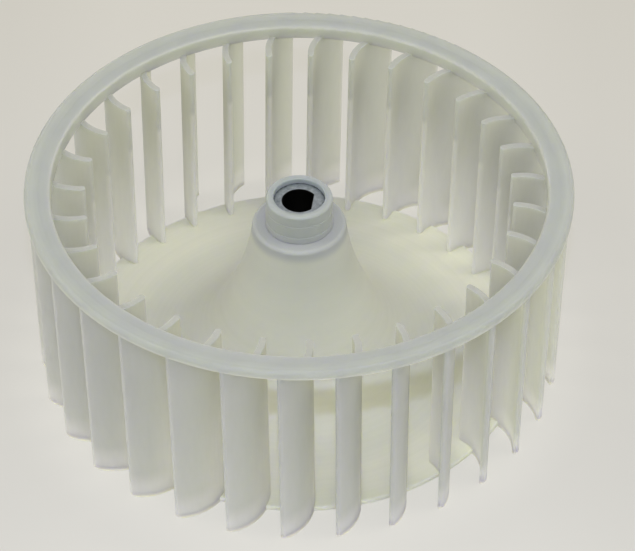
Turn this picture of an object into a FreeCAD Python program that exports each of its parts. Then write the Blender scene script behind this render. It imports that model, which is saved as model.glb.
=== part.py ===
import FreeCAD, Part
import math
import os
import Sketcher

# Blower wheel of a tumble dryer: one polypropylene moulding of a round disc with a hollow cone,
# a hub collar, curved blades and a ring that ties the blades' free ends together, moulded round
# a steel bush with a D-shaped bore for the motor shaft.
# The wheel's axis is Z. The blades' feet and the back of the disc stand on Z = 0.

# The driving sizes: lengths in millimetres, angles in degrees.
size = {
    "wheel_radius": 102.5,  # outside of the ring
    "wheel_height": 87.5,  # blade feet to the highest edge of the ring
    "blade_count": 31,  # blades round the wheel
    "first_blade_angle": -86.94,  # azimuth of the first blade's inner edge, at its foot
    "blade_inset": 1.05,  # outside of the ring in to the outer edge of a blade
    "blade_depth": 21.35,  # outer edge of a blade in to its inner edge, along the radius
    "blade_sweep": 6.4,  # angle by which the outer edge trails the inner edge
    "blade_bow_radius": 18.7,  # bow of a blade's middle line, seen along the axis
    "blade_half_wall": 1.2,  # half of a blade's thickness, and the rounding of its edges
    "blade_lean": 0.6,  # lean off the upright, towards the side that the outer edge trails to
    "blade_root": 0.5,  # length added under a blade's foot, then cut off level
    "blade_corner_round": 1.8,  # rounding of a blade's outer foot corner
    "blade_corner_clear": 0.1,  # how far that rounding runs on outside the blade
    "blade_shoulder_drop": 5.1,  # highest edge of the ring down to the blades' bare inner ends
    "ring_cover": 1.9,  # highest edge of the ring down to the blade ends inside it
    "ring_overlap": 1.0,  # how far the cut over the blades' bare ends runs into the ring
    "ring_width": 10.1,  # outside of the ring to the foot of its inner wall
    "ring_wall_lean": 0.4,  # draft of the ring's inner wall over its depth
    "ring_outer_depth": 2.9,  # depth of the ring at its outside
    "ring_inner_depth": 5.9,  # highest edge of the ring down to its lowest inner edge
    "ring_crease_inset": 5.1,  # outside of the ring to the crease on its top
    "ring_crease_drop": 0.45,  # highest edge of the ring down to that crease
    "ring_inner_drop": 0.6,  # highest edge of the ring down to its inner top edge
    "ring_outer_round": 1.6,  # rounding of the outer top edge
    "ring_inner_round": 0.9,  # rounding of the inner top edge
    "disc_hold": 7.7,  # inner edge of a blade out to the edge of the disc that holds it
    "disc_wall": 2.2,  # wall of the disc and of the cone
    "disc_edge_bevel": 0.4,  # bevel of both rims of the disc
    "cone_foot_radius": 40.0,  # sweep from the disc up into the cone
    "cone_flank_radius": 115.0,  # hollow sweep of the cone's flank
    "cone_flank_lean": 6.0,  # lean of the flank at the hub shoulder
    "shoulder_radius": 17.7,  # edge of the flat shoulder on top of the cone
    "shoulder_round": 1.5,  # rounding of the shoulder's edge
    "shoulder_wall": 2.6,  # wall under the shoulder
    "collar_radius": 12.6,  # outside of the collar at its lip
    "collar_drop": 8.6,  # highest edge of the ring down to the top of the collar's lip
    "collar_rise": 12.9,  # shoulder up to the top of the lip
    "collar_step": 0.15,  # width of each of the two fine steps down the collar
    "collar_upper_step_drop": 5.0,  # top of the lip down to the upper step
    "collar_lower_step_drop": 10.2,  # top of the lip down to the lower step
    "collar_lip_round": 1.1,  # rounding of the lip's outer edge
    "collar_mouth_round": 0.5,  # rounding of the lip's inner edge
    "collar_mouth_depth": 2.2,  # depth of the recess above the bush
    "boss_wall": 2.6,  # plastic round the bush inside the cone
    "bush_radius": 9.75,  # outside of the steel bush
    "bush_length": 25.0,  # length of the bush
    "bush_groove_depth": 0.9,  # locking groove round the bush, which the plastic fills
    "bush_groove_width": 4.0,  # width of that groove
    "bush_groove_rise": 10.5,  # lower end of the bush up to that groove
    "shaft_bore_radius": 6.35,  # round part of the D-shaped bore
    "shaft_flat_distance": 4.85,  # axis to the flat of the bore
    "shaft_flat_angle": -8.0,  # azimuth of the flat
    "shaft_bore_chamfer": 0.4,  # lead-in at both ends of the bore
}

doc = FreeCAD.newDocument("dryer_blower_wheel")
sheet = doc.addObject("Spreadsheet::Sheet", "sizes")
for row, (alias, value) in enumerate(size.items(), 1):
    sheet.set(f"A{row}", alias)
    sheet.set(f"B{row}", str(value))
    sheet.setAlias(f"B{row}", alias)


def amount(words):
    """A sum of size names, such as "wheel_radius - ring_width", as a number."""
    signed_names = ("+ " + words).split()
    return sum((1 if sign == "+" else -1) * (0 if name == "0" else size[name])
               for sign, name in zip(signed_names[::2], signed_names[1::2]))


def cells(words):
    """The same sum as an expression that reads the sheet."""
    return " ".join(word if word in ("+", "-", "0") else "sizes." + word for word in words.split())


def new_body(name):
    body = doc.addObject("PartDesign::Body", name)
    body.Label = name
    return body


def origin_feature(body, role):
    """A body's own plane or axis, such as XY_Plane or Z_Axis."""
    return next(item for item in body.Origin.OriginFeatures if item.Role == role)


def new_sketch(body, name, plane):
    sketch = body.newObject("Sketcher::SketchObject", name)
    sketch.AttachmentSupport = (origin_feature(body, plane), [""])
    sketch.MapMode = "FlatFace"
    return sketch


# Sketch geometry is numbered: the first axis is the sketch's horizontal one, whose start is the
# origin, and the second is its vertical one. An edge's points are numbered too.
HORIZONTAL_NUMBER, VERTICAL_NUMBER = -1, -2
START, END, CENTRE = 1, 2, 3
ORIGIN = (HORIZONTAL_NUMBER, START)
ALONG_AXIS = FreeCAD.Vector(0, 0, 1)


def join(sketch, kind, *references):
    """A constraint with no size: Coincident, Tangent, Horizontal, Vertical or PointOnObject."""
    sketch.addConstraint(Sketcher.Constraint(kind, *references))


def dimension(sketch, name, kind, references, value, expression):
    """A named dimension, bound to the sheet."""
    index = sketch.addConstraint(Sketcher.Constraint(kind, *references, value))
    sketch.renameConstraint(index, name)
    sketch.setExpression(f"Constraints.{name}", expression)


def hold_corner(sketch, corner, edge, point):
    """Hold an edge's point at a corner of (name, radius, height), given as sums of sizes."""
    name, across, upward = corner
    for kind, words, axis in (("DistanceX", across, VERTICAL_NUMBER),
                              ("DistanceY", upward, HORIZONTAL_NUMBER)):
        if words == "0":
            join(sketch, "PointOnObject", edge, point, axis)
        else:
            dimension(sketch, f"{name}_{kind}", kind, ORIGIN + (edge, point),
                      amount(words), cells(words))


def draw_corners(sketch, corners, closed=True):
    """Straight edges through corners of (name, radius, height), all held. Returns the edges."""
    points = [FreeCAD.Vector(amount(across), amount(upward), 0) for _, across, upward in corners]
    edges = [sketch.addGeometry(Part.LineSegment(start, end))
             for start, end in zip(points, points[1:])]
    for corner, edge in zip(corners, edges):
        hold_corner(sketch, corner, edge, START)
    for edge, following in zip(edges, edges[1:]):
        join(sketch, "Coincident", edge, END, following, START)
    hold_corner(sketch, corners[-1], edges[-1], END)
    if closed:
        edges.append(sketch.addGeometry(Part.LineSegment(points[-1], points[0])))
        join(sketch, "Coincident", edges[-2], END, edges[-1], START)
        join(sketch, "Coincident", edges[-1], END, edges[0], START)
    return edges


def draw_quarter(sketch, round_size, centre, start_angle, before, after):
    """A quarter circle, counter-clockwise from one edge's point to another's."""
    radius = size[round_size]
    middle = FreeCAD.Vector(amount(centre[0]), amount(centre[1]), 0)
    angle = math.radians(start_angle)
    quarter = sketch.addGeometry(Part.ArcOfCircle(
        Part.Circle(middle, ALONG_AXIS, radius), angle, angle + math.pi / 2))
    join(sketch, "Coincident", quarter, START, *before)
    join(sketch, "Coincident", quarter, END, *after)
    dimension(sketch, round_size, "Radius", (quarter,), radius, f"sizes.{round_size}")


def turned(body, kind, name, sketch):
    """Turn a section about the wheel's axis: a Revolution adds it and a Groove cuts it."""
    feature = body.newObject(f"PartDesign::{kind}", name)
    feature.Profile = sketch
    feature.ReferenceAxis = (sketch, ["V_Axis"])
    feature.Angle = 360
    doc.recompute()
    return feature


def rounded(body, name, base, round_size, rings):
    """Round the edges of a turned form that lie at each (radius, height), by a named size."""
    names = []
    for across, upward in rings:
        for number, edge in enumerate(base.Shape.Edges, 1):
            if isinstance(edge.Curve, Part.Circle):
                off = math.hypot(edge.Curve.Radius - amount(across),
                                 edge.Curve.Center.z - amount(upward))
                if off < 1e-4:
                    names.append(f"Edge{number}")
    if not names:
        raise ValueError(f"{name} finds no edge to round")
    fillet = body.newObject("PartDesign::Fillet", name)
    fillet.Base = (base, names)
    fillet.Radius = size[round_size]
    fillet.setExpression("Radius", f"sizes.{round_size}")
    doc.recompute()
    return fillet


# Places that several pieces share, all set out from the ring.

BLADE_OUTER = "wheel_radius - blade_inset"
BLADE_INNER = BLADE_OUTER + " - blade_depth"
DISC_EDGE = BLADE_INNER + " + disc_hold"
COLLAR_TOP = "wheel_height - collar_drop"
SHOULDER = COLLAR_TOP + " - collar_rise"
BUSH_TOP = COLLAR_TOP + " - collar_mouth_depth"
BUSH_FOOT = BUSH_TOP + " - bush_length"

# The disc, the cone and the collar, turned as one solid form.

wheel = new_body("blower_wheel")


def flank_centre():
    """Centre of the flank's sweep, set out from the shoulder's edge: radius, height."""
    lean = math.radians(size["cone_flank_lean"])
    return (size["shoulder_radius"] + size["cone_flank_radius"] * math.cos(lean),
            amount(SHOULDER) + size["cone_flank_radius"] * math.sin(lean))


def draw_cone_section(sketch, corners, wall):
    """A closed section whose outer side sweeps up from the disc into the cone.

    The corners run from the top of the flank, in towards the axis, down and out again to the
    foot. A level edge leads from the flank to the first corner, another from the last corner
    to the foot, and two tangent arcs join them. A wall of disc_wall moves both arcs inwards.
    """
    top_height = amount(corners[0][2])
    base_height = amount(corners[-1][2])
    flank_radius = amount("cone_flank_radius + " + wall)
    foot_radius = amount("cone_foot_radius + " + wall)
    flank_x, flank_y = flank_centre()
    foot_y = base_height + foot_radius
    centres_apart = flank_radius - foot_radius
    foot_x = flank_x - math.sqrt(centres_apart ** 2 - (flank_y - foot_y) ** 2)
    top_angle = math.pi + math.asin((flank_y - top_height) / flank_radius)
    meeting_angle = math.pi + math.asin((flank_y - foot_y) / centres_apart)
    top_x = flank_x + flank_radius * math.cos(top_angle)

    chain = draw_corners(sketch, corners, closed=False)
    first = FreeCAD.Vector(amount(corners[0][1]), top_height, 0)
    last = FreeCAD.Vector(amount(corners[-1][1]), base_height, 0)
    top_edge = sketch.addGeometry(Part.LineSegment(FreeCAD.Vector(top_x, top_height, 0), first))
    base_edge = sketch.addGeometry(Part.LineSegment(last, FreeCAD.Vector(foot_x, base_height, 0)))
    flank = sketch.addGeometry(Part.ArcOfCircle(
        Part.Circle(FreeCAD.Vector(flank_x, flank_y, 0), ALONG_AXIS, flank_radius),
        top_angle, meeting_angle))
    foot = sketch.addGeometry(Part.ArcOfCircle(
        Part.Circle(FreeCAD.Vector(foot_x, foot_y, 0), ALONG_AXIS, foot_radius),
        meeting_angle, 1.5 * math.pi))

    join(sketch, "Coincident", top_edge, END, chain[0], START)
    join(sketch, "Coincident", base_edge, START, chain[-1], END)
    join(sketch, "Horizontal", top_edge)
    join(sketch, "Horizontal", base_edge)
    join(sketch, "Coincident", flank, START, top_edge, START)
    join(sketch, "Tangent", flank, END, foot, START)
    join(sketch, "Tangent", foot, END, base_edge, END)
    dimension(sketch, "flank_sweep", "Radius", (flank,), flank_radius,
              cells("cone_flank_radius + " + wall))
    dimension(sketch, "foot_sweep", "Radius", (foot,), foot_radius,
              cells("cone_foot_radius + " + wall))
    dimension(sketch, "flank_centre_x", "DistanceX", ORIGIN + (flank, CENTRE), flank_x,
              "sizes.shoulder_radius + sizes.cone_flank_radius * cos(sizes.cone_flank_lean)")
    dimension(sketch, "flank_centre_y", "DistanceY", ORIGIN + (flank, CENTRE), flank_y,
              cells(SHOULDER) + " + sizes.cone_flank_radius * sin(sizes.cone_flank_lean)")


LOWER_COLLAR = "collar_radius + collar_step + collar_step"
UPPER_COLLAR = "collar_radius + collar_step"
LOWER_STEP = COLLAR_TOP + " - collar_lower_step_drop"
UPPER_STEP = COLLAR_TOP + " - collar_upper_step_drop"

disc_section = new_sketch(wheel, "disc_section", "XZ_Plane")
draw_cone_section(disc_section, [
    ("collar_root", LOWER_COLLAR, SHOULDER),
    ("lower_step_out", LOWER_COLLAR, LOWER_STEP),
    ("lower_step_in", UPPER_COLLAR, LOWER_STEP),
    ("upper_step_out", UPPER_COLLAR, UPPER_STEP),
    ("upper_step_in", "collar_radius", UPPER_STEP),
    ("collar_lip", "collar_radius", COLLAR_TOP),
    ("axis_top", "0", COLLAR_TOP),
    ("axis_foot", "0", "0"),
    ("back_bevel_start", DISC_EDGE + " - disc_edge_bevel", "0"),
    ("back_bevel_end", DISC_EDGE, "disc_edge_bevel"),
    ("front_bevel_start", DISC_EDGE, "disc_wall - disc_edge_bevel"),
    ("front_bevel_end", DISC_EDGE + " - disc_edge_bevel", "disc_wall"),
], "0")
disc = turned(wheel, "Revolution", "disc_and_hub", disc_section)

# The hollow under the cone leaves an even wall, and a boss that hangs down round the bush.

HOLLOW_TOP = SHOULDER + " - shoulder_wall"

hollow_section = new_sketch(wheel, "hollow_section", "XZ_Plane")
draw_cone_section(hollow_section, [
    ("boss_root", "bush_radius + boss_wall", HOLLOW_TOP),
    ("boss_foot", "bush_radius + boss_wall", BUSH_FOOT),
    ("boss_middle", "0", BUSH_FOOT),
    ("back_middle", "0", "0"),
], "disc_wall")
hollow = turned(wheel, "Groove", "cone_hollow", hollow_section)


def bush_corners(top):
    """Outside of the steel bush up to a given height, as corners of a section on the axis."""
    groove_bottom = BUSH_FOOT + " + bush_groove_rise"
    groove_top = groove_bottom + " + bush_groove_width"
    groove_floor = "bush_radius - bush_groove_depth"
    return [
        ("axis_foot", "0", BUSH_FOOT),
        ("foot_edge", "bush_radius", BUSH_FOOT),
        ("groove_below", "bush_radius", groove_bottom),
        ("groove_floor_below", groove_floor, groove_bottom),
        ("groove_floor_above", groove_floor, groove_top),
        ("groove_above", "bush_radius", groove_top),
        ("top_edge", "bush_radius", top),
        ("axis_top", "0", top),
    ]


# The bush's seat runs on up through the collar as the recess above it.

seat_section = new_sketch(wheel, "seat_section", "XZ_Plane")
draw_corners(seat_section, bush_corners(COLLAR_TOP))
seat = turned(wheel, "Groove", "bush_seat", seat_section)

shoulder_edge = rounded(wheel, "shoulder_edge", seat, "shoulder_round",
                        [("shoulder_radius", SHOULDER)])
lip_edge = rounded(wheel, "lip_edge", shoulder_edge, "collar_lip_round",
                   [("collar_radius", COLLAR_TOP)])
mouth_edge = rounded(wheel, "mouth_edge", lip_edge, "collar_mouth_round",
                     [("bush_radius", COLLAR_TOP)])

# One blade, drawn along the sketch's own X and then turned to its place: two bowed faces and
# two round edges, tangent to each other. Its plane is tipped by the blades' slight lean.

INNER_CENTRE = BLADE_INNER + " + blade_half_wall"
OUTER_CENTRE = BLADE_OUTER + " - blade_half_wall"


def draw_blade(sketch):
    half = size["blade_half_wall"]
    bow = size["blade_bow_radius"]
    sweep = math.radians(size["blade_sweep"])
    inner = FreeCAD.Vector(amount(INNER_CENTRE), 0, 0)
    reach = amount(OUTER_CENTRE)
    outer = FreeCAD.Vector(reach * math.cos(sweep), -reach * math.sin(sweep), 0)
    chord = outer - inner
    sagitta_side = FreeCAD.Vector(chord.y, -chord.x, 0).normalize()
    middle = (inner + outer) * 0.5
    centre = middle + sagitta_side * math.sqrt(bow ** 2 - (chord.Length / 2) ** 2)
    inner_angle = math.atan2(inner.y - centre.y, inner.x - centre.x)
    outer_angle = math.atan2(outer.y - centre.y, outer.x - centre.x)

    def arc(middle_point, radius, start_angle, end_angle):
        circle = Part.Circle(middle_point, ALONG_AXIS, radius)
        return sketch.addGeometry(Part.ArcOfCircle(circle, start_angle, end_angle))

    outside_face = arc(centre, bow + half, outer_angle, inner_angle)
    inside_face = arc(centre, bow - half, outer_angle, inner_angle)
    inner_edge = arc(inner, half, inner_angle, inner_angle + math.pi)
    outer_edge = arc(outer, half, outer_angle + math.pi, outer_angle + 2 * math.pi)
    join(sketch, "Tangent", outside_face, END, inner_edge, START)
    join(sketch, "Tangent", inside_face, END, inner_edge, END)
    join(sketch, "Tangent", inside_face, START, outer_edge, START)
    join(sketch, "Tangent", outside_face, START, outer_edge, END)
    dimension(sketch, "inner_edge_round", "Radius", (inner_edge,), half, "sizes.blade_half_wall")
    dimension(sketch, "outer_edge_round", "Radius", (outer_edge,), half, "sizes.blade_half_wall")
    dimension(sketch, "outside_bow", "Radius", (outside_face,), bow + half,
              "sizes.blade_bow_radius + sizes.blade_half_wall")
    dimension(sketch, "inside_bow", "Radius", (inside_face,), bow - half,
              "sizes.blade_bow_radius - sizes.blade_half_wall")
    join(sketch, "PointOnObject", inner_edge, CENTRE, HORIZONTAL_NUMBER)
    dimension(sketch, "inner_edge_x", "DistanceX", ORIGIN + (inner_edge, CENTRE), inner.x,
              cells(INNER_CENTRE))
    dimension(sketch, "outer_edge_x", "DistanceX", ORIGIN + (outer_edge, CENTRE), outer.x,
              f"({cells(OUTER_CENTRE)}) * cos(sizes.blade_sweep)")
    dimension(sketch, "outer_edge_y", "DistanceY", (outer_edge, CENTRE) + ORIGIN, -outer.y,
              f"({cells(OUTER_CENTRE)}) * sin(sizes.blade_sweep)")


def turn_about_axis(sketch, angle_size):
    """Turn a sketch in its own plane by a named angle."""
    sketch.AttachmentOffset = FreeCAD.Placement(
        FreeCAD.Vector(), FreeCAD.Rotation(ALONG_AXIS, size[angle_size]))
    sketch.setExpression("AttachmentOffset.Rotation.Angle", f"sizes.{angle_size} * 1 deg")


blade_section = new_sketch(wheel, "blade_section", "XY_Plane")
blade_section.AttachmentOffset = FreeCAD.Placement(
    FreeCAD.Vector(0, 0, -size["blade_root"]),
    FreeCAD.Rotation(ALONG_AXIS, size["first_blade_angle"])
    * FreeCAD.Rotation(FreeCAD.Vector(1, 0, 0), size["blade_lean"]))
blade_section.setExpression(
    "AttachmentOffset",
    "create(<<placement>>; create(<<vector>>; 0; 0; 0 - sizes.blade_root); "
    "create(<<rotation>>; create(<<vector>>; 0; 0; 1); sizes.first_blade_angle) * "
    "create(<<rotation>>; create(<<vector>>; 1; 0; 0); sizes.blade_lean))")
draw_blade(blade_section)
blade = wheel.newObject("PartDesign::Pad", "blade")
blade.Profile = blade_section
blade.Length = amount("wheel_height - ring_cover + blade_root")
blade.setExpression("Length", cells("wheel_height - ring_cover + blade_root"))
doc.recompute()

blades = wheel.newObject("PartDesign::PolarPattern", "blades")
blades.Originals = [blade]
blades.Axis = (origin_feature(wheel, "Z_Axis"), [""])
blades.Angle = 360
blades.Occurrences = size["blade_count"]
blades.setExpression("Occurrences", "sizes.blade_count")
wheel.Tip = blades
doc.recompute()

# The blades' bare inner ends stop a little below the top of the ring, level all round.

BARE_END = "wheel_height - blade_shoulder_drop"
INSIDE_BLADES = BLADE_INNER + " - ring_overlap"
INSIDE_RING = "wheel_radius - ring_width + ring_overlap"

bare_end_section = new_sketch(wheel, "bare_end_section", "XZ_Plane")
draw_corners(bare_end_section, [
    ("low_inside", INSIDE_BLADES, BARE_END),
    ("low_outside", INSIDE_RING, BARE_END),
    ("high_outside", INSIDE_RING, "wheel_height"),
    ("high_inside", INSIDE_BLADES, "wheel_height"),
])
bare_ends = turned(wheel, "Groove", "bare_ends", bare_end_section)

# Their feet are cut off level with the back of the disc, and the outer foot corners are rounded
# by the quarter circle on which that cut ends.

ROUND_END = BLADE_OUTER + " + blade_corner_clear"
ROUND_START = ROUND_END + " - blade_corner_round"
OUTSIDE_BLADES = BLADE_OUTER + " + blade_corner_round"

foot_section = new_sketch(wheel, "foot_section", "XZ_Plane")
foot_edges = draw_corners(foot_section, [
    ("round_end", ROUND_END, "blade_corner_round"),
    ("outside_above", OUTSIDE_BLADES, "blade_corner_round"),
    ("outside_below", OUTSIDE_BLADES, "0 - blade_corner_round"),
    ("inside_below", INSIDE_BLADES, "0 - blade_corner_round"),
    ("inside_level", INSIDE_BLADES, "0"),
    ("round_start", ROUND_START, "0"),
], closed=False)
draw_quarter(foot_section, "blade_corner_round", (ROUND_START, "blade_corner_round"), 270,
             (foot_edges[-1], END), (foot_edges[0], START))
feet = turned(wheel, "Groove", "feet", foot_section)

# The ring closes over the blades' ends: deeper at its inner wall, creased along its top, and
# rounded at both top edges.

INNER_WALL = "wheel_radius - ring_width + ring_wall_lean"

ring_section = new_sketch(wheel, "ring_section", "XZ_Plane")
ring_top = draw_corners(ring_section, [
    ("outer_round_end", "wheel_radius - ring_outer_round", "wheel_height"),
    ("crease", "wheel_radius - ring_crease_inset", "wheel_height - ring_crease_drop"),
    ("inner_round_start", INNER_WALL + " + ring_inner_round", "wheel_height - ring_inner_drop"),
], closed=False)
ring_walls = draw_corners(ring_section, [
    ("inner_round_end", INNER_WALL, "wheel_height - ring_inner_drop - ring_inner_round"),
    ("inner_foot", "wheel_radius - ring_width", "wheel_height - ring_inner_depth"),
    ("outer_foot", "wheel_radius", "wheel_height - ring_outer_depth"),
    ("outer_round_start", "wheel_radius", "wheel_height - ring_outer_round"),
], closed=False)
draw_quarter(ring_section, "ring_outer_round",
             ("wheel_radius - ring_outer_round", "wheel_height - ring_outer_round"), 0,
             (ring_walls[-1], END), (ring_top[0], START))
draw_quarter(ring_section, "ring_inner_round",
             (INNER_WALL + " + ring_inner_round",
              "wheel_height - ring_inner_drop - ring_inner_round"), 90,
             (ring_top[-1], END), (ring_walls[0], START))
ring = turned(wheel, "Revolution", "ring", ring_section)

# The steel bush: turned with a locking groove, broached to a D and chamfered at both ends.

bush = new_body("hub_bush")
bush_section = new_sketch(bush, "bush_section", "XZ_Plane")
draw_corners(bush_section, bush_corners(BUSH_TOP))
bush_blank = turned(bush, "Revolution", "bush_blank", bush_section)


def draw_shaft_bore(sketch):
    """A circle cut off by a flat that faces the axis from the sketch's own +X."""
    radius = size["shaft_bore_radius"]
    flat = size["shaft_flat_distance"]
    flat_angle = math.acos(flat / radius)
    half_flat = math.sqrt(radius ** 2 - flat ** 2)
    wall = sketch.addGeometry(Part.ArcOfCircle(
        Part.Circle(FreeCAD.Vector(), ALONG_AXIS, radius), flat_angle, 2 * math.pi - flat_angle))
    flat_edge = sketch.addGeometry(Part.LineSegment(
        FreeCAD.Vector(flat, -half_flat, 0), FreeCAD.Vector(flat, half_flat, 0)))
    join(sketch, "Coincident", wall, CENTRE, *ORIGIN)
    join(sketch, "Coincident", wall, END, flat_edge, START)
    join(sketch, "Coincident", flat_edge, END, wall, START)
    join(sketch, "Vertical", flat_edge)
    dimension(sketch, "bore_radius", "Radius", (wall,), radius, "sizes.shaft_bore_radius")
    dimension(sketch, "flat_distance", "DistanceX", ORIGIN + (flat_edge, START), flat,
              "sizes.shaft_flat_distance")


bore_section = new_sketch(bush, "bore_section", "XY_Plane")
turn_about_axis(bore_section, "shaft_flat_angle")
draw_shaft_bore(bore_section)
bore = bush.newObject("PartDesign::Pocket", "shaft_bore")
bore.Profile = bore_section
bore.Type = "ThroughAll"
bore.Reversed = True
doc.recompute()


def bore_mouth_edges(feature):
    """The edges of the D at both ends of the bush, which lie well inside its outside edge."""
    ends = (amount(BUSH_FOOT), amount(BUSH_TOP))
    names = []
    for number, edge in enumerate(feature.Shape.Edges, 1):
        level = any(all(abs(point.z - end) < 1e-4 for point in (edge.valueAt(edge.FirstParameter),
                                                                edge.valueAt(edge.LastParameter)))
                    for end in ends)
        first = edge.valueAt(edge.FirstParameter)
        if level and math.hypot(first.x, first.y) < size["shaft_bore_radius"] + 1e-4:
            names.append(f"Edge{number}")
    return names


lead_in = bush.newObject("PartDesign::Chamfer", "lead_in")
lead_in.Base = (bore, bore_mouth_edges(bore))
lead_in.Size = size["shaft_bore_chamfer"]
lead_in.setExpression("Size", "sizes.shaft_bore_chamfer")
doc.recompute()


def check_and_write(bodies):
    """Stop if anything failed or cut nothing, and write each body to its own file."""
    failed = [item.Name for item in doc.Objects
              if any(word in item.State for word in ("Invalid", "Error"))]
    if failed:
        raise RuntimeError("failed: " + ", ".join(failed))
    for cut in (hollow, seat, bare_ends, feet, bore):
        if cut.Shape.Volume >= cut.BaseFeature.Shape.Volume:
            raise RuntimeError(f"{cut.Name} cuts nothing")
    os.makedirs("parts", exist_ok=True)
    for body in bodies:
        shape = body.Shape
        if shape.isNull() or not shape.isValid() or len(shape.Solids) != 1:
            raise RuntimeError(f"{body.Label} is not one valid solid")
        shape.exportStep(f"parts/{body.Label}.step")
        print(body.Label, f"{shape.Volume / 1000:.1f} cm3", len(shape.Faces), "faces")


check_and_write([wheel, bush])
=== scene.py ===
import math

import bpy
from mathutils import Matrix, Vector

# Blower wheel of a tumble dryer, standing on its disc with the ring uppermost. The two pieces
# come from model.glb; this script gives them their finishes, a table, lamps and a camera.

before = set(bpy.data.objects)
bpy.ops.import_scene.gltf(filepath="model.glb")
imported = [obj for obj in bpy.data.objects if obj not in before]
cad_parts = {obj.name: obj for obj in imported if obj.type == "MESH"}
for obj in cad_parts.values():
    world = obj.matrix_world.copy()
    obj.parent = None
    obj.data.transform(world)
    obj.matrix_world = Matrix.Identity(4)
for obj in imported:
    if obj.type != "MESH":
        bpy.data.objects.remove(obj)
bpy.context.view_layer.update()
millimetre = 0.001

# The moulding: disc, hollow cone, hub collar, bowed blades and ring in one shot of natural
# polypropylene. Uncoloured, the polymer is milky: a thick wall sends back a cool grey, and the
# light that has come through a thin one is straw-coloured, as deep inside the wheel. The tints
# below paint that straw light, and shade, into the colour.


def linear(hex_colour):
    """An sRGB hex colour as linear RGBA, as the shader sockets take it."""
    channels = [int(hex_colour[start:start + 2], 16) / 255 for start in (1, 3, 5)]
    return [c / 12.92 if c <= 0.04045 else ((c + 0.055) / 1.055) ** 2.4 for c in channels] + [1.0]


def add(material, kind, settings=None, **inputs):
    """Add a shader node with its own settings. An input goes by its name, with _ for a space,
    or by _ and its number, and takes a value or another node's output."""
    node = material.node_tree.nodes.new(kind)
    for name, value in (settings or {}).items():
        setattr(node, name, value)
    for name, value in inputs.items():
        socket = node.inputs[int(name[1:]) if name[0] == "_" else name.replace("_", " ")]
        if isinstance(value, bpy.types.NodeSocket):
            material.node_tree.links.new(value, socket)
        else:
            socket.default_value = value
    return node


def new_material(name):
    """A node material that holds no node yet."""
    material = bpy.data.materials.new(name)
    material.use_nodes = True
    material.node_tree.nodes.clear()
    return material


def place_on_wheel(material):
    """Outputs that give a point's place, its height and its distance from the wheel's axis."""
    place = add(material, "ShaderNodeNewGeometry").outputs["Position"]
    height = add(material, "ShaderNodeSeparateXYZ", Vector=place).outputs["Z"]
    level = add(material, "ShaderNodeVectorMath", {"operation": "MULTIPLY"},
                _0=place, _1=(1, 1, 0))
    radius = add(material, "ShaderNodeVectorMath", {"operation": "LENGTH"},
                 _0=level.outputs["Vector"])
    return place, height, radius.outputs["Value"]


def dress(node_name, material):
    """Give every face of a CAD node the same finish."""
    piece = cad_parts[node_name]
    piece.data.materials.clear()
    piece.data.materials.append(material)


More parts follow.
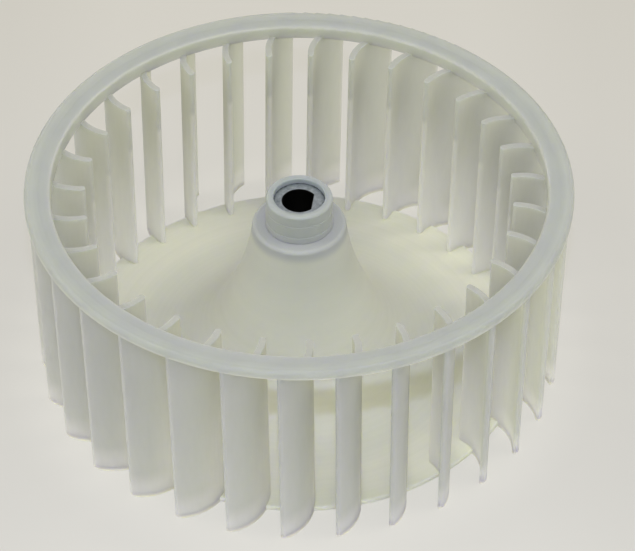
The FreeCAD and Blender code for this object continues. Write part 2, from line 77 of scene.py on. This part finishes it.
def natural_polypropylene():
    """Milky polymer. Its tints, most of them painted light and shade, go by height and distance
    from the axis alone.
    """
    material = new_material("natural_polypropylene_moulded")
    place, height, radius = place_on_wheel(material)

    # Zones of the moulding: 0 at the first and 1 at the second height or radius, in millimetres.
    zones = {}
    for zone, along, start, end in (
            ("low_on_the_blades", height, 75, 5),
            ("blades_inner_halves", radius, 97, 84),
            ("near_the_bench", height, 14, 1),
            ("feet", height, 2.5, 0.5),
            ("ring", height, 80, 83),
            ("outside_of_ring", radius, 99.5, 102),
            ("inner_wall_of_ring", radius, 94.2, 92.8),
            ("bare_blade_ends", radius, 92.3, 91.8),
            ("cone_foot", height, 55, 12),
            ("outer_disc", radius, 62, 72),
            ("rim_of_disc", radius, 86.6, 87.5),
            ("shoulder", height, 60, 64),
            ("collar", height, 67, 69),
            ("collar_lip", height, 77, 78.5),
            ("collar_mouth", radius, 11.4, 9.7),
            ("outer_part", radius, 78, 82),
            ("above_the_disc", height, 2.2, 4),
            ("beyond_the_disc", radius, 87.8, 88.5),
            ("thick_ring", height, 79, 82)):
        zones[zone] = add(material, "ShaderNodeMapRange", {"interpolation_type": "SMOOTHSTEP"},
                          Value=along, From_Min=start * millimetre,
                          From_Max=end * millimetre).outputs["Result"]

    # The blades and the ring stand in the open, and daylight comes right through them. The disc
    # lies on the bench and the collar is full of steel, so their light stays where it enters.
    for zone, operation, first, second in (
            ("past_the_disc", "MAXIMUM", "above_the_disc", "beyond_the_disc"),
            ("in_the_open", "MULTIPLY", "outer_part", "past_the_disc")):
        zones[zone] = add(material, "ShaderNodeMath", {"operation": operation},
                          _0=zones[first], _1=zones[second]).outputs["Value"]

    # Painted light and shade: the disc, the cone's foot and the blades' inner halves are painted
    # a bright straw. It stands for light that has come a long way through the polymer and up from
    # the bench, and it lifts the shade inside the wheel. The blades' outer halves and the thick
    # ring keep a cooler grey. The collar has a grey close to the ring's and is painted darker in
    # its mouth, as shade in the recess. The blades' feet are painted pale, as light from the
    # bench. Each tint goes from its first to its second colour, which are inputs 6 and 7 of a
    # colour mix, and output 2 is what it gives.
    tints = {}
    for tint, zone, first, second in (
            # Painted light: the blades' outer halves are a cool grey painted lighter towards the
            # foot, and much paler in their lowest 14 mm, as light from the disc and the pale
            # bench.
            ("blade_outside", "low_on_the_blades", "#A2A5A5", "#ADB0B1"),
            ("blade_outside_foot", "near_the_bench", "blade_outside", "#DEE1DC"),
            # Painted light: the blades' inner halves are painted a pale straw that brightens
            # downwards to near white. This stands for light come through the polymer, and it
            # lifts the shade inside the wheel.
            ("blade_inside", "low_on_the_blades", "#AEAFA5", "#FAFAEE"),
            ("blade", "blades_inner_halves", "blade_outside_foot", "blade_inside"),
            # Painted light: the feet are painted near white, as light from the bench below them.
            ("blade_and_foot", "feet", "blade", "#FFFDE8"),
            # Painted shade: the ring is painted darker towards its outer edge and on its outer
            # side.
            ("ring_top", "outside_of_ring", "#B1B4B6", "#A2A5A8"),
            # Painted light: the ring's inner wall is painted lighter. The bare blade ends inside
            # it keep a plain grey.
            ("ring_wall", "inner_wall_of_ring", "ring_top", "#BCBEBA"),
            ("ring", "bare_blade_ends", "ring_wall", "#B0B2B0"),
            ("open_part", "ring", "blade_and_foot", "ring"),
            # Painted light: the cone is painted a pale straw that brightens towards its foot, and
            # the disc near-white straw. This stands for light from the bench through the thin
            # wall and lifts the shade inside the wheel.
            ("cone", "cone_foot", "#D2D4CA", "#EAEBDC"),
            ("disc", "outer_disc", "cone", "#F3F3E2"),
            # Painted light: the disc's rim is painted a little whiter, against the shade where it
            # meets the bench.
            ("disc_and_rim", "rim_of_disc", "disc", "#F4F4E8"),
            ("up_to_shoulder", "shoulder", "disc_and_rim", "#B8BBBC"),
            ("collar_side", "collar", "up_to_shoulder", "#B7BCBA"),
            ("collar_top", "collar_lip", "collar_side", "#B3B8B9"),
            # Painted shade: the collar's mouth is painted darker, as shade in the recess.
            ("hub", "collar_mouth", "collar_top", "#A6ADB1"),
            ("moulding", "in_the_open", "hub", "open_part")):
        ends = [linear(name) if name[0] == "#" else tints[name] for name in (first, second)]
        tints[tint] = add(material, "ShaderNodeMix", {"data_type": "RGBA"},
                          _0=zones[zone], _6=ends[0], _7=ends[1]).outputs[2]

    # How far light goes inside: right through a blade, some way into the thick ring, and barely
    # into the disc and the hub. In the feet it stays near the skin, because the pale bench
    # sends back what leaves through their undersides.
    blade_path, ring_path = 40 * millimetre, 14 * millimetre
    disc_and_hub_path, foot_path = 3 * millimetre, 0.4 * millimetre
    open_path = add(material, "ShaderNodeMapRange", Value=zones["thick_ring"],
                    To_Min=blade_path, To_Max=ring_path)
    path_above_feet = add(material, "ShaderNodeMapRange", Value=zones["in_the_open"],
                          To_Min=disc_and_hub_path, To_Max=open_path.outputs["Result"])
    light_path = add(material, "ShaderNodeMapRange", Value=zones["feet"],
                     To_Min=path_above_feet.outputs["Result"], To_Max=foot_path)

    # Cloudy melt, in denser patches some 40 mm across, and flow lines about 1.2 mm wide: rings
    # on the disc and the ring, and upright streaks on the blades.
    cloud_size, flow_line_width, streak_slope = 40 * millimetre, 1.2 * millimetre, 0.15
    clouds = add(material, "ShaderNodeTexNoise", _0=place, Scale=1 / cloud_size,
                 Detail=3.0, Roughness=0.5)
    streaks = add(material, "ShaderNodeMath", {"operation": "MULTIPLY"},
                  _0=height, _1=streak_slope)
    round_the_axis = add(material, "ShaderNodeCombineXYZ", X=radius, Y=streaks.outputs["Value"])
    flow_lines = add(material, "ShaderNodeTexNoise", _0=round_the_axis.outputs["Vector"],
                     Scale=1 / flow_line_width, Detail=2.0, Roughness=0.5)
    milk_and_painted_light = tints["moulding"]
    for pattern, shade in ((clouds, "#F7F8F6"), (flow_lines, "#F8F9F7")):
        milk_and_painted_light = add(material, "ShaderNodeMix", {"data_type": "RGBA", "blend_type": "MULTIPLY"},
                   _0=pattern.outputs["Fac"], _6=milk_and_painted_light, _7=linear(shade)).outputs[2]

    # Fine grain of the mould's surface, and a skin that is a little duller where the melt is
    # denser.
    grain_size, grain_depth = 0.5 * millimetre, 0.05 * millimetre
    grain = add(material, "ShaderNodeTexNoise", _0=place, Scale=1 / grain_size,
                Detail=2.0, Roughness=0.6)
    bump = add(material, "ShaderNodeBump", Strength=0.08, Distance=grain_depth,
               Height=grain.outputs["Fac"])
    roughness = add(material, "ShaderNodeMapRange", Value=clouds.outputs["Fac"],
                    To_Min=0.46, To_Max=0.56)
    skin = add(material, "ShaderNodeBsdfPrincipled", {"subsurface_method": "RANDOM_WALK"},
               Base_Color=milk_and_painted_light, Roughness=roughness.outputs["Result"],
               Normal=bump.outputs["Normal"], IOR=1.49, Subsurface_Weight=1.0,
               Subsurface_Radius=(0.95, 1.0, 0.65),
               Subsurface_Scale=light_path.outputs["Result"])
    add(material, "ShaderNodeOutputMaterial", Surface=skin.outputs["BSDF"])
    return material


dress("blower_wheel", natural_polypropylene())

# The hub bush: turned steel, moulded into the collar. Its end face keeps the lathe's fine rings
# and some stains, and the broached bore has gone black with oxide and oil.


def oiled_steel():
    """Turned steel, dull and grey on its end face, and black below it."""
    material = new_material("steel_turned_and_oiled")
    place, height, radius = place_on_wheel(material)

    # Stains some 2 mm across over lathe rings a third of a millimetre apart.
    stain_size, lathe_pitch, share_of_rings = 2.0 * millimetre, 0.35 * millimetre, 0.35
    stain = add(material, "ShaderNodeTexNoise", _0=place, Scale=1 / stain_size, Detail=3.0)
    along_radius = add(material, "ShaderNodeCombineXYZ", X=radius)
    lathe = add(material, "ShaderNodeTexNoise", _0=along_radius.outputs["Vector"],
                Scale=1 / lathe_pitch, Detail=1.0)
    marks = add(material, "ShaderNodeMix", _0=share_of_rings, _2=stain.outputs["Fac"],
                _3=lathe.outputs["Fac"])
    tone = add(material, "ShaderNodeValToRGB", Fac=marks.outputs[0])
    for stop, (position, shade) in zip(tone.color_ramp.elements,
                                       ((0.3, "#858E95"), (0.7, "#C6CDD2"))):
        stop.position = position
        stop.color = linear(shade)

    # A ragged dark edge: the end face darkens towards its outer margin. The stains push it about.
    raggedness = 3.0 * millimetre
    edge_start, edge_end = 10.4 * millimetre, 11.2 * millimetre
    ragged = add(material, "ShaderNodeMath", {"operation": "MULTIPLY_ADD"},
                 _0=stain.outputs["Fac"], _1=raggedness, _2=radius)
    dark_edge = add(material, "ShaderNodeMapRange", Value=ragged.outputs["Value"],
                    From_Min=edge_start, From_Max=edge_end)
    face = add(material, "ShaderNodeMix", {"data_type": "RGBA"}, _0=dark_edge.outputs["Result"],
               _6=tone.outputs["Color"], _7=linear("#565E63"))

    # The end face is all that lies above the mouth of the bore.
    bore_mouth, face_level = 76.5 * millimetre, 76.68 * millimetre
    end_face = add(material, "ShaderNodeMapRange", Value=height,
                   From_Min=bore_mouth, From_Max=face_level)
    colour = add(material, "ShaderNodeMix", {"data_type": "RGBA"}, _0=end_face.outputs["Result"],
                 _6=linear("#141413"), _7=face.outputs[2])
    skin = add(material, "ShaderNodeBsdfPrincipled", Base_Color=colour.outputs[2],
               Metallic=1.0, Roughness=0.55)
    add(material, "ShaderNodeOutputMaterial", Surface=skin.outputs["BSDF"])
    return material


dress("hub_bush", oiled_steel())

# The stand: a table top in matt cream paint. Near the camera hangs a small cool light, whose
# shadow of the ring falls on the disc, and large soft lights stand in front and at both sides.


def cream_paint():
    """Diffuse paint. The camera, gloss and glass see it lifted to a pale colour, with a painted
    falloff of light from the near to the far side, while the wheel's shadow stays on it."""
    material = new_material("table_top_cream_paint")
    paint = add(material, "ShaderNodeBsdfDiffuse", Color=linear("#F4F2EC"))
    place = add(material, "ShaderNodeNewGeometry").outputs["Position"]
    across_and_away = add(material, "ShaderNodeSeparateXYZ", Vector=place)

    # Painted light: the lifted colour is paler on the near side and darker far off, as the front
    # lights fall off.
    near_side, far_side = -180 * millimetre, 330 * millimetre
    painted_falloff = add(material, "ShaderNodeMapRange", Value=across_and_away.outputs["Y"],
                 From_Min=near_side, From_Max=far_side)
    seen_colour = add(material, "ShaderNodeMix", {"data_type": "RGBA"},
                      _0=painted_falloff.outputs["Result"], _6=linear("#D8D7D2"), _7=linear("#CAC6BA"))

    # Painted shade makes the table dimmer past the wheel's left and right, and a painted pool of
    # light makes it gleam close to its blades.
    dimming_start, dimming_end, dimmed_strength = 80 * millimetre, 130 * millimetre, 0.93
    sideways = add(material, "ShaderNodeMath", {"operation": "ABSOLUTE"},
                   _0=across_and_away.outputs["X"])
    dimming = add(material, "ShaderNodeMapRange", Value=sideways.outputs["Value"],
                  From_Min=dimming_start, From_Max=dimming_end,
                  To_Min=1.0, To_Max=dimmed_strength)
    # Painted light: the gleam stands for light that has come through the wheel onto the table
    # round its foot.
    gleam_end, gleam_full, gleam_strength = 122 * millimetre, 101 * millimetre, 1.06
    distance = add(material, "ShaderNodeVectorMath", {"operation": "LENGTH"}, _0=place)
    gleam = add(material, "ShaderNodeMapRange", {"interpolation_type": "SMOOTHSTEP"},
                Value=distance.outputs["Value"], From_Min=gleam_end, From_Max=gleam_full,
                To_Min=1.0, To_Max=gleam_strength)
    strength = add(material, "ShaderNodeMath", {"operation": "MULTIPLY"},
                   _0=dimming.outputs["Result"], _1=gleam.outputs["Result"])
    glow = add(material, "ShaderNodeEmission", Color=seen_colour.outputs[2],
               Strength=strength.outputs["Value"])

    lifted_share = 0.8
    path = add(material, "ShaderNodeLightPath")
    seen = add(material, "ShaderNodeMath", {"operation": "MAXIMUM"},
               _0=path.outputs["Is Camera Ray"], _1=path.outputs["Is Glossy Ray"])
    seen_at_all = add(material, "ShaderNodeMath", {"operation": "MAXIMUM"},
                      _0=seen.outputs["Value"], _1=path.outputs["Is Transmission Ray"])
    share = add(material, "ShaderNodeMath", {"operation": "MULTIPLY"},
                _0=seen_at_all.outputs["Value"], _1=lifted_share)
    both = add(material, "ShaderNodeMixShader", _0=share.outputs["Value"],
               _1=paint.outputs["BSDF"], _2=glow.outputs["Emission"])
    add(material, "ShaderNodeOutputMaterial", Surface=both.outputs["Shader"])
    return material


gap_under_wheel = 0.02 * millimetre
bpy.ops.mesh.primitive_circle_add(vertices=96, radius=6.0, fill_type="NGON",
                                  location=(0, 0, -gap_under_wheel))
table = bpy.context.object
table.name = "table_top"
table.data.materials.append(cream_paint())

world = bpy.data.worlds.new("soft_room")
bpy.context.scene.world = world
world.use_nodes = True
room_light = world.node_tree.nodes["Background"]
room_light.inputs["Color"].default_value = linear("#FFFBF8")
room_light.inputs["Strength"].default_value = 0.52

# Round lamps that look at the middle of the wheel's foot, in metres, watts and degrees.
for name, size, power, hex_colour, distance, elevation, azimuth in (
        ("small_front_light", 0.03, 3.1, "#BFC6FA", 1.1, 51.75, -90),
        ("soft_front_light", 0.6, 3.5, "#FCFFC8", 1.5, 42, -90),
        ("soft_light_left", 1.0, 8.5, "#FFFBEC", 2.0, 42, 180),
        ("soft_light_right", 1.0, 8.5, "#FFFBEC", 2.0, 52, 0)):
    light = bpy.data.lights.new(name, "AREA")
    light.shape = "DISK"
    light.size = size
    light.energy = power
    light.color = linear(hex_colour)[:3]
    lamp = bpy.data.objects.new(name, light)
    bpy.context.scene.collection.objects.link(lamp)
    rise, turn = math.radians(elevation), math.radians(azimuth)
    lamp.location = distance * Vector((math.cos(rise) * math.cos(turn),
                                       math.cos(rise) * math.sin(turn), math.sin(rise)))
    lamp.rotation_euler = (-lamp.location).to_track_quat("-Z", "Y").to_euler()

# The camera: a long lens about a metre away, looking down at 45 degrees. It aims a little
# beside the axis and is rolled by a quarter of a degree, as the photograph's camera was.

camera_distance = 1.0317
camera_elevation = math.radians(44.72)
camera_roll = math.radians(0.24)
aim = Vector((0.00697, 0.0, 0.03793))
position = camera_distance * Vector((0, -math.cos(camera_elevation), math.sin(camera_elevation)))
forward = (aim - position).normalized()
level_right = forward.cross(Vector((0, 0, 1))).normalized()
level_up = level_right.cross(forward)
right = level_right * math.cos(camera_roll) + level_up * math.sin(camera_roll)
up = level_up * math.cos(camera_roll) - level_right * math.sin(camera_roll)

lens = bpy.data.cameras.new("photograph_view")
lens.sensor_width = 36.0
lens.lens = 147.74
camera = bpy.data.objects.new("photograph_view", lens)
turned = Matrix((right, up, -forward)).transposed().to_4x4()
camera.matrix_world = Matrix.Translation(position) @ turned
bpy.context.scene.collection.objects.link(camera)
bpy.context.scene.camera = camera
bpy.context.scene.view_settings.view_transform = "Standard"
